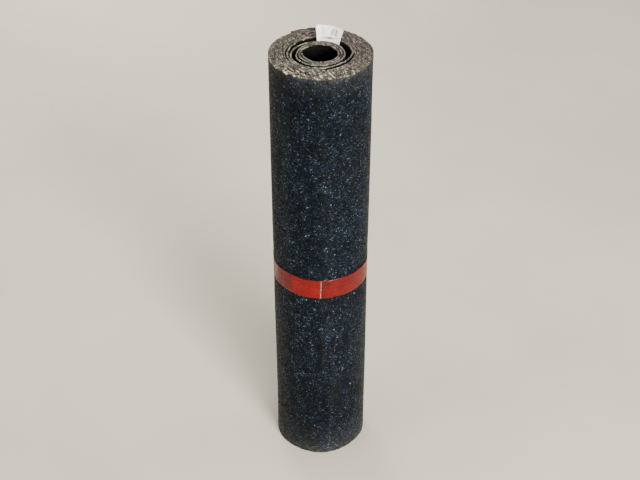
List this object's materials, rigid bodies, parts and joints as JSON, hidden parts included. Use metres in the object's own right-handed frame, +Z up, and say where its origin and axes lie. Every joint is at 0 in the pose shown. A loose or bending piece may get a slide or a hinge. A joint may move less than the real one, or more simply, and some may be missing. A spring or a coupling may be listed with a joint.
{
  "type": "roll of roofing felt",
  "caption": "Roll of mineral-surfaced bitumen roofing felt standing on its end, with a plastic band around its middle and a paper slip tucked between its turns.",
  "frame": {"origin": "centre of the roll's lower end, on the floor", "axes": "+Z up along the roll's axis, +Y towards the side where the paper slip stands"},
  "size_m": [0.2058, 0.2085, 1.0281],
  "materials": {
    "felt": "matte",
    "band": "gloss",
    "slip": "matte"
  },
  "bodies": {
    "root": {"felt_roll": "felt", "wrap_band": "band", "label_slip": "slip"}
  },
  "joints": []
}
